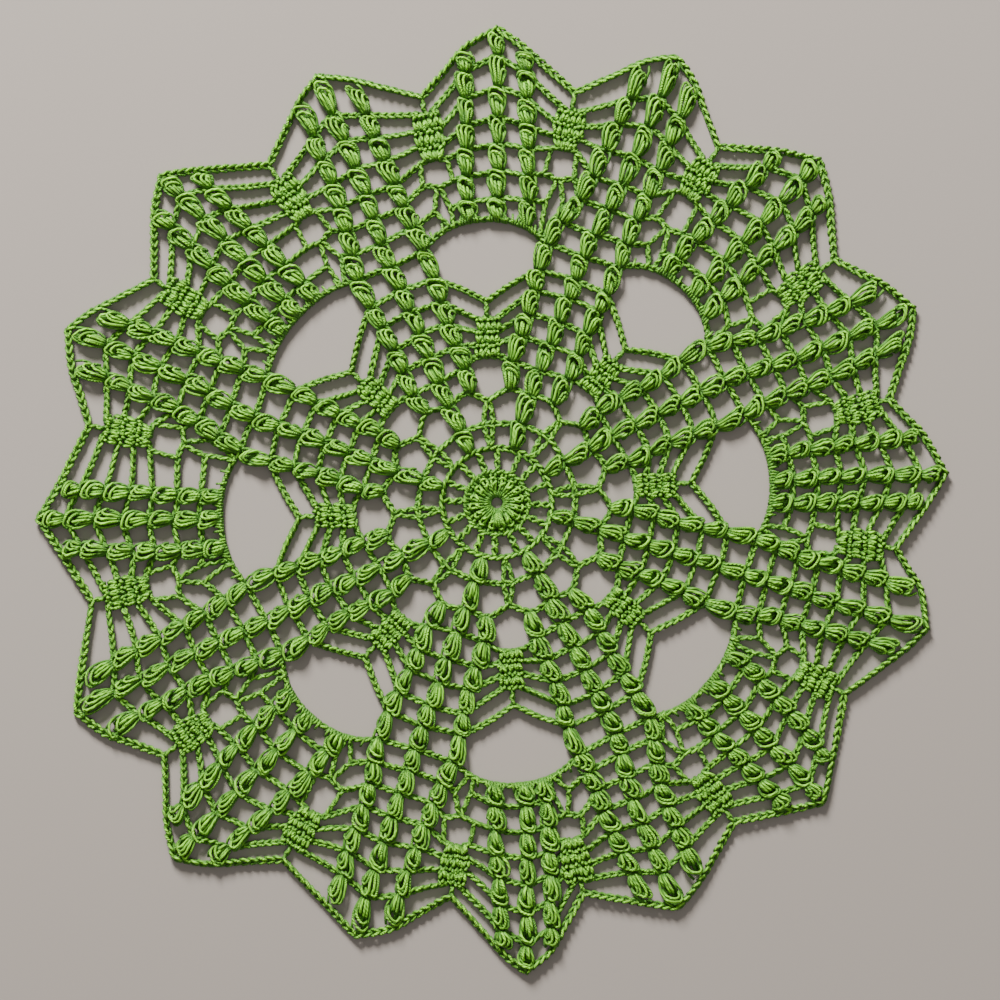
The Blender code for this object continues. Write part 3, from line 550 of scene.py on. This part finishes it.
def workCentre():
    piece, count = "doily_centre", centre["posts"]
    for radius, height, thick in centre["floors"]:
        turns = np.linspace(0, 2 * pi, centre["floorRings"])
        layYarn(piece, [(radius * sin(a), radius * cos(a), height) for a in turns], len(turns), thick)
    for k in range(2 * count):
        angle = (k + 0.5) * 180 / count + stray(centre["rayTurn"])
        top = centre["rayTop"] + chance.uniform(*centre["rayLonger"])
        place = localFrame((angle, centre["rayFoot"]), (angle, top))
        lean = stray(centre["rayLean"])
        ray = [place(lean * side, up, z) for up, side, z in centre["ray"]]
        layYarn(piece, ray, centre["rayRings"], centre["rayThick"])
    for k in range(count):
        angle = (k + 0.5) * 360 / count + stray(centre["postTurn"])
        top = centre["postTop"] + stray(centre["postLonger"])
        place = localFrame((angle, centre["postFoot"]), (angle + centre["lean"], top),
                           stray(centre["postLean"]))
        for thread in centreThreads:
            shift, climb = stray(centre["threadShift"]), stray(centre["threadClimb"])
            layYarn(piece, [place(a + shift, u + climb, z) for a, u, z in thread], len(thread) + 1,
                    centre["threadThick"])
    knot = localFrame((startKnot["angle"], startKnot["foot"]), (startKnot["angle"], startKnot["top"]))
    for thread in startKnot["threads"]:
        layYarn(piece, [knot(*spot) for spot in thread], 2 * len(thread) - 1, startKnot["thick"])
    for ring in ("chain", "second"):
        radius, turns = centre[ring + "Top"], np.linspace(0, 2 * pi, centre["chainPlaces"])
        line = [Vector((radius * sin(a), radius * cos(a))) for a in turns]
        chain(piece, line, centre[ring + "Half"], 2 * pi * radius / centre[ring + "Stitches"], xy=True)
    for k in range(count):
        angle = (k + centre["longStart"]) * 360 / count + stray(centre["longTurn"])
        post(piece, (angle, centre["chainTop"] + centre["longFoot"]),
             (angle + centre["longLean"], centre["secondTop"] + centre["longTop"]), centre["longHalf"])


# The first three clusters of a spoke stand alone, and the side columns start beside the third.
spokeShape = dict(aloneUpTo=5, innerUpTo=7, sideFoot=36.2, sideTurn=0.3, bow=0.4)


def workSpoke(index):
    foot = (spokeNode(index, 3)[0], doily["ringRadius"])
    for level in range(3, spokeShape["aloneUpTo"] + 1):
        top = spokeNode(index, level)
        cluster("clusters_inner", foot, top, clusterLook["firstHalf" if level == 3 else "half"])
        foot = top
    for column in (-1, 1):
        side = spokeNode(index, spokeShape["aloneUpTo"], column)
        foot = (side[0] - column * spokeShape["sideTurn"], spokeShape["sideFoot"])
        cluster("clusters_inner", foot, side)
    for level in range(spokeShape["aloneUpTo"] + 1, doily["lastRound"] + 1):
        piece = "clusters_inner" if level <= spokeShape["innerUpTo"] else "clusters_spokes"
        for column in (-1, 0, 1):
            top = underEdge(spokeNode(index, level, column), level)
            cluster(piece, spokeNode(index, level - 1, column), top)
    for level in range(doily["firstSpokeRound"], doily["lastRound"]):
        for column in (-1, 1):
            chain("chains_spokes", (spokeNode(index, level), spokeNode(index, level, column)),
                  bow=stray(spokeShape["bow"]))


fanShape = dict(bow=0.4)


def workFan(index):
    first, last = doily["firstFanRound"], doily["lastRound"]
    for level in range(first, last + 1):
        for column in (-1, 0, 1):
            top = fanNode(index, level, column)
            onArch = (top[0], eyeArc(index, top[0]))
            foot = fanNode(index, level - 1, column) if level > first else onArch
            cluster("clusters_fans", foot, underEdge(top, level))
    for level in range(first, last):
        for column in (-1, 1):
            chain("chains_fans", (fanNode(index, level), fanNode(index, level, column)),
                  bow=stray(fanShape["bow"]))


# Between two spokes: a pair of posts that part to their knees and meet again at a point, then the
# dense block with chains to both sides, and the tip below the eye. Turns are from the eye's middle.
eyeShape = dict(
    footTurn=1.0, kneeTurn=3.6, pointTurn=0.8, kneeDrop=0.2,
    point=32.6, crest=36.3,                    # where the pair meets, and the chains beside it bend
    rows=(47.0, 51.2, 55.4, 59.6), half=3.6, stitches=4,
    rowFoot=0.3, rowTop=0.1,                   # where a row's stitches start and end, past its radii
    joinShare=0.95, joinDrop=0.5,              # where on the block's side a chain joins it
    tip=64.5, tipBow=0.5, arcPlaces=13,
)


def workPair(index):
    third, fourth = eyeAngle(index, 3), eyeAngle(index, 4)
    round3 = spokeNode(index, 3)[1]
    point = (fourth, eyeShape["point"])
    knees = {hand: (third + hand * eyeShape["kneeTurn"], round3) for hand in (-1, 1)}
    for hand, knee in knees.items():
        post("centre_posts", (third + hand * eyeShape["footTurn"], doily["ringRadius"]),
             (knee[0], round3 - eyeShape["kneeDrop"]))
        post("centre_posts", knee, (fourth + hand * eyeShape["pointTurn"], eyeShape["point"]))
    for here in (spokeNode(index, 4), spokeNode(index + 1, 4)):
        chain("chains_centre", (here, ((here[0] + fourth) / 2, eyeShape["crest"]), point))
    for spoke, hand in ((index, -1), (index + 1, 1)):
        chain("chains_centre", (spokeNode(spoke, 3), knees[hand]))
    chain("chains_centre", (knees[-1], knees[1]))


def workBlock(index):
    shift = fans[index]["block"]
    tops = [radius + shift for radius in eyeShape["rows"]]
    half = eyeShape["half"]
    sides = ((index, 1, -1), (index + 1, -1, 1))      # spoke, its column, and its side of the block
    middle, reach = eyeAngle(index, 5), degrees(half / tops[0])
    chain("chains_centre", (spokeNode(index, 5, 1), (middle - reach, tops[0]),
                            (middle + reach, tops[0]), spokeNode(index + 1, 5, -1)))
    for row in range(3):
        level = 6 + row
        middle = eyeAngle(index, level)
        low, high = tops[row] + eyeShape["rowFoot"], tops[row + 1] + eyeShape["rowTop"]
        turnLow, turnHigh = degrees(half / low), degrees(half / high)
        blockRow(middle, turnLow, low, turnHigh, high, eyeShape["stitches"])
        for spoke, column, hand in sides:
            join = (middle + hand * turnHigh * eyeShape["joinShare"], high - eyeShape["joinDrop"])
            chain("chains_centre", (spokeNode(spoke, level, column), join))
    middle = eyeAngle(index, 9)
    tip = (middle, eyeShape["tip"] + shift)
    post("centre_posts", (middle, tops[3]), tip)
    for spoke, column, _ in sides:
        chain("chains_centre", (spokeNode(spoke, 9, column), tip), bow=eyeShape["tipBow"] * column)


# Stitches that wrap the arch over an eye. Near a fan's foot they close towards it, and away from it
# only every fourth is worked. line: share of the lean, share of the closing, up in mm, and height.
wrapShape = dict(
    pitch=0.95, near=3.2, every=4, lean=(-0.1, 0.4), closing=0.3, rings=6, thick=0.95,
    line=((1.0, 0.0, 0.25, 0.6), (0.8, 0.0, 0.35, 1.4), (0.0, 0.0, 1.0, 1.95), (0.0, 0.5, 2.0, 1.9),
          (0.0, 1.0, 3.3, 1.2)),
)


def workArch(index):
    crest = fans[index]["crest"]
    start = spokeNode(index, doily["widestRound"], 1)[0]
    end = spokeNode(index + 1, doily["widestRound"], -1)[0]
    turns = np.linspace(start, end, eyeShape["arcPlaces"])
    chain("chains_fans", [(angle, eyeArc(index, angle)) for angle in turns])
    wraps = round(radians(end - start) * crest / wrapShape["pitch"])
    feet = [fanNode(index, doily["firstFanRound"], column)[0] for column in (-1, 0, 1)]
    for k in range(wraps):
        angle = start + (end - start) * (k + 0.5) / wraps
        foot = min(feet, key=lambda foot: abs(foot - angle))
        away = abs(radians(angle - foot)) * crest
        if away > wrapShape["near"] and k % wrapShape["every"]:
            continue
        place = localFrame((angle, eyeArc(index, angle) - 1), (angle, eyeArc(index, angle)))
        lean = chance.uniform(*wrapShape["lean"])
        toFoot = wrapShape["closing"] * radians(foot - angle) * crest
        closing = toFoot if away <= wrapShape["near"] else -lean
        wrap = [place(lean * a + closing * b, up, z) for a, b, up, z in wrapShape["line"]]
        layYarn("chains_fans", wrap, wrapShape["rings"], wrapShape["thick"])


# A valley: a pair of posts from the arch as under the eye, two pillars with their caps, and the dense
# block. Turns are in degrees from the valley's middle.
valleyShape = dict(
    startTurn=1.3, kneeDepth=7.3,         # where the pair starts, to the eye's side, and its knees
    footTurn=0.4, kneeTurn=1.6, pointTurn=0.3, pillarTurn=2.7, capTurn=2.1, blockTurn=1.0,
    pillarRise=1.2, pillarPull=0.25, capDrop=0.6,
    halfTurns=(1.5, 2.2, 2.2, 1.9),       # half widths of the block, from its foot to its top
    joinTurns=(2.2, 2.1, 0.9), joinDrop=0.4, joinBow=0.3,
    stitches=5, endHalf=0.45,
)


def valleySides(number):
    # the columns to its left and right, each as a function of the round, and the eye's side
    index = number // 2
    if number % 2 == 0:
        return (lambda level: spokeNode(index, level, 1)), (lambda level: fanNode(index, level, -1)), 1
    return (lambda level: fanNode(index, level, 1)), (lambda level: spokeNode(index + 1, level, -1)), -1


def workValley(number):
    valley, shape = valleys[number], valleyShape
    angle, point, foot, top = (valley[key] for key in ("angle", "point", "foot", "top"))
    left, right, eyeSide = valleySides(number)
    start = angle + eyeSide * shape["startTurn"]
    for hand, column in ((-1, left), (1, right)):
        knee = (angle + hand * shape["kneeTurn"], point - shape["kneeDepth"])
        arch = (start + hand * shape["footTurn"], eyeArc(number // 2, start))
        post("valley_posts", arch, knee)
        post("valley_posts", knee, (angle + hand * shape["pointTurn"], point))
        chain("chains_valleys", (column(11), knee))
        room = max(0, (column(12)[1] - point - shape["pillarRise"]))
        pillar = (angle + hand * shape["pillarTurn"],
                  point + shape["pillarRise"] + room * shape["pillarPull"])
        cap = (angle + hand * shape["capTurn"], foot - shape["capDrop"])
        chain("chains_valleys", (column(12), pillar, (angle, point)))
        post("valley_posts", pillar, cap)
        chain("chains_valleys", (column(13), cap, (angle + hand * shape["blockTurn"], foot)))
    turns = shape["halfTurns"]
    for row in range(3):
        low, high = (foot + (top - foot) * (row + k) / 3 for k in (0, 1))
        blockRow(angle, turns[row], low, turns[row + 1], high, shape["stitches"])
        for column, hand in ((left, -1), (right, 1)):
            join = (angle + hand * shape["joinTurns"][row], high - shape["joinDrop"])
            chain("chains_valleys", (column(14 + row), join), bow=shape["joinBow"] * hand)
    post("valley_posts", (angle, top), (angle, valley["edge"]), shape["endHalf"])


edgeShape = dict(half=0.92, pitch=2.6)


def workEdge():
    # the chain round the edge, valley to tip to valley
    for point in range(len(valleys)):
        node = fanNode if point % 2 else spokeNode
        left, tip, right = (at(node(point // 2, doily["lastRound"], column)) for column in (-1, 0, 1))
        before, after = valleys[point - 1], valleys[point]
        turn = -360 if point == 0 else 0
        start, end = at((before["angle"] + turn, before["edge"])), at((after["angle"], after["edge"]))
        for line in ((start, start.lerp(left, 0.5), left, tip), (tip, right, end.lerp(right, 0.5), end)):
            chain("edge_chain", line, edgeShape["half"], edgeShape["pitch"], xy=True)


# How the hollows are found for the painted shade: the upper side of the yarn is mapped in cells of this
# size, and its mean is taken over reach cells to each side. span is half the map's width, in mm.
shadeMapLook = dict(
    cell=0.25, reach=4, span=160.0, readings=4,
    bed=0.45, downShare=1.5,      # faces that look down are measured from the bed's height
)


def cellsOf(spots):
    return (((spots[:, k] + shadeMapLook["span"]) / shadeMapLook["cell"]).astype(int) for k in (0, 1))


def roofMap():
    # mean height of the yarn's upper side round each place, from which the hollows that get painted
    # shade are found
    cell, steps = shadeMapLook["cell"], shadeMapLook["reach"]
    side, wide = int(2 * shadeMapLook["span"] / cell), 2 * steps + 1
    roof = np.zeros((side, side))
    reach = doily["yarnRadius"] / cell
    spots = []
    for lines in strands.values():
        for line, _ in lines:
            for k in np.linspace(0, 1, shadeMapLook["readings"], endpoint=False):
                spots.append(line[:-1] * (1 - k) + line[1:] * k)
    spots = np.vstack(spots)
    column, row = cellsOf(spots)
    for i in (-1, 0, 1):
        for j in (-1, 0, 1):
            rise = cell * np.sqrt(max(reach ** 2 - i * i - j * j, 0.0))
            np.maximum.at(roof, (row + i, column + j), spots[:, 2] + rise)

    def blurred(field):
        total = np.pad(field, steps + 1).cumsum(axis=0).cumsum(axis=1)
        total = (total[wide:, wide:] - total[:-wide, wide:] - total[wide:, :-wide]
                 + total[:-wide, :-wide])
        return total[:side, :side]

    return blurred(roof) / np.maximum(blurred((roof > 0).astype(float)), 1.0)


yarnShape = dict(bevelResolution=1, longestStart=0.01, mergeDistance=1e-7)    # the last two in m


def drawYarn(name):
    # the strands of one piece as a curve, and for each ring its distance along the yarn and its tone
    curve = bpy.data.curves.new(name, "CURVE")
    curve.dimensions = "3D"
    curve.bevel_depth = doily["yarnRadius"] / 1000
    curve.bevel_resolution = yarnShape["bevelResolution"]
    curve.use_fill_caps = True
    rows = []
    for line, thick in strands[name]:
        spline = curve.splines.new("POLY")
        spline.points.add(len(line) - 1)
        places = (line + ringShift) / 1000
        spline.points.foreach_set("co", np.hstack([places, np.ones((len(line), 1))]).ravel())
        spline.points.foreach_set("radius", [thick] * len(line))
        steps = np.sqrt((np.diff(places, axis=0) ** 2).sum(axis=1))
        start, tone = chance.uniform(0, yarnShape["longestStart"]), chance.random()
        reach = np.concatenate([[0], np.cumsum(steps)]) + start
        # each strand comes as its rings, then the rings of its two caps
        reach = np.concatenate([reach, reach[[0, -1]]])
        rows.append(np.column_stack([reach, np.full(len(reach), tone)]))
    return curve, np.vstack(rows)


def curveToMesh(name, curve):
    holder = bpy.data.objects.new(name + "_line", curve)
    bpy.context.scene.collection.objects.link(holder)
    bpy.context.view_layer.update()
    evaluated = holder.evaluated_get(bpy.context.evaluated_depsgraph_get())
    mesh = bpy.data.meshes.new_from_object(evaluated)
    bpy.data.objects.remove(holder)
    return mesh


def readAll(items, key):
    values = np.empty(len(items) * 3)
    items.foreach_get(key, values)
    return values.reshape(-1, 3)


def writeAll(mesh, name, kind, key, values):
    mesh.attributes.new(name, kind, "POINT").data.foreach_set(key, values.ravel())


def layOut(name):
    # all strands of one piece as closed tubes in one mesh, with the yarn's own coordinates
    curve, rows = drawYarn(name)
    mesh = curveToMesh(name, curve)
    sides, rest = divmod(len(mesh.vertices), len(rows))
    if rest:
        raise ValueError(f"{name}: rings don't match their points")
    rows = np.repeat(rows, sides, axis=0)
    corner = np.tile(np.arange(sides) * 2 * pi / sides, len(rows) // sides)
    yarn = np.column_stack([rows[:, 0] * 1000, np.cos(corner), np.sin(corner)])
    writeAll(mesh, "yarn", "FLOAT_VECTOR", "vector", yarn)
    writeAll(mesh, "tone", "FLOAT", "value", rows[:, 1])
    spots = readAll(mesh.vertices, "co") * 1000 - ringShift
    column, row = cellsOf(spots)
    normals = readAll(mesh.vertex_normals, "vector")
    down = np.clip(-shadeMapLook["downShare"] * normals[:, 2], 0, 1)
    # crest is painted shade and painted highlight: yarn below the mean height round it gets a darker
    # colour, yarn above it a lighter one; faces that look down are measured from the bed's height
    # instead
    crest = (spots[:, 2] - roof[row, column]) * (1 - down) + (shadeMapLook["bed"] - spots[:, 2]) * down
    writeAll(mesh, "crest", "FLOAT", "value", crest)
    solid = bmesh.new()
    solid.from_mesh(mesh)
    bmesh.ops.remove_doubles(solid, verts=solid.verts, dist=yarnShape["mergeDistance"])
    solid.to_mesh(mesh)
    solid.free()
    mesh.shade_smooth()
    mesh.materials.append(cotton)
    piece = bpy.data.objects.new(name, mesh)
    bpy.context.scene.collection.objects.link(piece)
    mesh.calc_loop_triangles()
    print(name, len(strands[name]), "strands", len(mesh.loop_triangles), "triangles")
    return piece


# The ramp's dark end is painted shade in the hollows and its light end is painted highlight on the
# crests; the middle colour is the cotton's green between them.
cottonLook = dict(
    hollowShade=(0.082, 0.250, 0.022, 1), middle=(0.088, 0.255, 0.030, 1), light=(0.37, 0.92, 0.056, 1),
    middleAt=0.57,                  # place of the middle colour between deep and light
    lowest=-1.30, highest=0.75,     # from hollow to crest, mm from the mean height round it
    plyPitch=2.0,                   # mm of yarn in one turn of its two plies
    # Of these tones, the ply tone is painted shade in the ply grooves and painted highlight on their
    # ridges; the strand and speck tones are the yarn's own tone that differs at random.
    plyShade=0.11, strandTone=0.16, speckTone=0.14, speckScale=1400, plyBump=0.75, plyDepth=0.00016,
    roughness=0.48, gloss=0.18, sheen=0.10, sheenRoughness=0.4, sheenTint=(0.65, 1.0, 0.35, 1),
)


def makeYarnGroup():
    # the colour from hollow to crest, painted shade to painted highlight, with the ply grooves painted
    # darker, and the plies themselves for the bump
    group = bpy.data.node_groups.new("cotton_plies_and_shade", "ShaderNodeTree")
    for name, way, kind in (("Crest", "INPUT", "Float"), ("Tone", "INPUT", "Float"),
                            ("Yarn", "INPUT", "Vector"), ("Place", "INPUT", "Vector"),
                            ("Color", "OUTPUT", "Color"), ("Plies", "OUTPUT", "Float")):
        group.interface.new_socket(name, in_out=way, socket_type="NodeSocket" + kind)
    nodes, links = group.nodes, group.links
    entry, leave = nodes.new("NodeGroupInput"), nodes.new("NodeGroupOutput")

    def reckon(operation, *values):
        node = nodes.new("ShaderNodeMath")
        node.operation = operation
        for k, value in enumerate(values):
            if isinstance(value, (int, float)):
                node.inputs[k].default_value = value
            else:
                links.new(value, node.inputs[k])
        return node.outputs[0]

    def varied(base, value, amount):
        return reckon("MULTIPLY_ADD", reckon("SUBTRACT", value, 0.5), amount, base)

    # the plies: the sine of twice the corner's angle plus the turn along the yarn
    parts = nodes.new("ShaderNodeSeparateXYZ")
    links.new(entry.outputs["Yarn"], parts.inputs[0])
    along = reckon("MULTIPLY", parts.outputs["X"], 2 * pi / cottonLook["plyPitch"])
    cosine, sine = parts.outputs["Y"], parts.outputs["Z"]
    doubleSine = reckon("MULTIPLY", reckon("MULTIPLY", cosine, sine), 2.0)
    doubleCosine = reckon("SUBTRACT", reckon("MULTIPLY", cosine, cosine), reckon("MULTIPLY", sine, sine))
    plies = reckon("ADD", reckon("MULTIPLY", doubleSine, reckon("COSINE", along)),
                   reckon("MULTIPLY", doubleCosine, reckon("SINE", along)))
    crest = nodes.new("ShaderNodeMapRange")
    crest.inputs["From Min"].default_value = cottonLook["lowest"]
    crest.inputs["From Max"].default_value = cottonLook["highest"]
    links.new(entry.outputs["Crest"], crest.inputs["Value"])
    noise = nodes.new("ShaderNodeTexNoise")
    noise.inputs["Scale"].default_value = cottonLook["speckScale"]
    links.new(entry.outputs["Place"], noise.inputs["Vector"])
    # painted shade and highlight: the crest's place on the ramp, with the ply grooves painted darker and
    # the ply ridges lighter
    total = reckon("MULTIPLY_ADD", plies, cottonLook["plyShade"], crest.outputs["Result"])
    total = varied(total, entry.outputs["Tone"], cottonLook["strandTone"])
    total = varied(total, noise.outputs["Fac"], cottonLook["speckTone"])
    ramp = nodes.new("ShaderNodeValToRGB")
    ramp.color_ramp.elements[0].color = cottonLook["hollowShade"]
    ramp.color_ramp.elements[1].color = cottonLook["light"]
    ramp.color_ramp.elements.new(cottonLook["middleAt"]).color = cottonLook["middle"]
    links.new(total, ramp.inputs["Fac"])
    links.new(ramp.outputs["Color"], leave.inputs["Color"])
    links.new(plies, leave.inputs["Plies"])
    return group


def makeCotton():
    material = bpy.data.materials.new("cotton_yarn")
    material.use_nodes = True
    nodes, links = material.node_tree.nodes, material.node_tree.links
    shader = nodes["Principled BSDF"]
    group = nodes.new("ShaderNodeGroup")
    group.node_tree = makeYarnGroup()
    # the crest attribute carries the painted shade and highlight of hollows and crests; tone is each
    # strand's own tone
    for name, output in (("crest", "Fac"), ("tone", "Fac"), ("yarn", "Vector")):
        layer = nodes.new("ShaderNodeAttribute")
        layer.attribute_name = name
        links.new(layer.outputs[output], group.inputs[name.capitalize()])
    place = nodes.new("ShaderNodeTexCoord")
    links.new(place.outputs["Object"], group.inputs["Place"])
    links.new(group.outputs["Color"], shader.inputs["Base Color"])
    bump = nodes.new("ShaderNodeBump")
    bump.inputs["Strength"].default_value = cottonLook["plyBump"]
    bump.inputs["Distance"].default_value = cottonLook["plyDepth"]
    links.new(group.outputs["Plies"], bump.inputs["Height"])
    links.new(bump.outputs["Normal"], shader.inputs["Normal"])
    for socket, value in (("Roughness", "roughness"), ("Specular IOR Level", "gloss"),
                          ("Sheen Weight", "sheen"), ("Sheen Roughness", "sheenRoughness"),
                          ("Sheen Tint", "sheenTint")):
        shader.inputs[socket].default_value = cottonLook[value]
    return material


cotton = makeCotton()
ringShift = np.array([*doily["ringCentre"], 0.0])
workCentre()
print("centre laid")
for index in range(doily["repeats"]):
    workSpoke(index)
    workFan(index)
    workPair(index)
    workBlock(index)
    workArch(index)
print("spokes, fans and eyes laid")
for number in range(len(valleys)):
    workValley(number)
workEdge()
print("valleys and edge laid")
roof = roofMap()
print("roof found")
pieces = {name: layOut(name) for name in strands}
for piece in pieces.values():
    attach(piece, "root")
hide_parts("lace_doily")


# The floor, the lamps as place, size and watts, and the camera straight above, all in metres.
studio = dict(
    floorSize=4, floorDrop=0.0002, floorColour=(0.43, 0.375, 0.325, 1), floorRoughness=0.8,
    lamps=dict(key=((-0.45, 1.45, 0.75), 0.5, 77), fill=((0.5, -0.3, 1.6), 1.2, 2)),
    world=0.23,
    frameWidth=0.318, aimX=0.00245, aimY=0.00005, lens=100, sensor=36, nearest=0.01,
)


def makeFloor():
    bpy.ops.mesh.primitive_plane_add(size=studio["floorSize"], location=(0, 0, -studio["floorDrop"]))
    floor = bpy.context.active_object
    floor.name = "floor"
    paint = bpy.data.materials.new("floor_paint")
    paint.use_nodes = True
    shader = paint.node_tree.nodes["Principled BSDF"]
    shader.inputs["Base Color"].default_value = studio["floorColour"]
    shader.inputs["Roughness"].default_value = studio["floorRoughness"]
    floor.data.materials.append(paint)


def makeLight():
    for name, (place, size, power) in studio["lamps"].items():
        light = bpy.data.lights.new(name, "AREA")
        light.shape = "DISK"
        light.size = size
        light.energy = power
        lamp = bpy.data.objects.new(name, light)
        lamp.location = place
        lamp.rotation_euler = (-Vector(place)).to_track_quat("-Z", "Y").to_euler()
        bpy.context.scene.collection.objects.link(lamp)
    world = bpy.data.worlds.new("studio")
    bpy.context.scene.world = world
    world.use_nodes = True
    world.node_tree.nodes["Background"].inputs["Color"].default_value = (1, 1, 1, 1)
    world.node_tree.nodes["Background"].inputs["Strength"].default_value = studio["world"]


def makeCamera():
    camera = bpy.data.objects.new("camera", bpy.data.cameras.new("camera"))
    camera.data.lens = studio["lens"]
    camera.data.sensor_width = studio["sensor"]
    camera.data.clip_start = studio["nearest"]
    distance = studio["frameWidth"] * studio["lens"] / studio["sensor"]
    camera.location = (studio["aimX"], studio["aimY"], distance)
    bpy.context.scene.collection.objects.link(camera)
    bpy.context.scene.camera = camera


makeFloor()
makeLight()
makeCamera()
print("studio set")
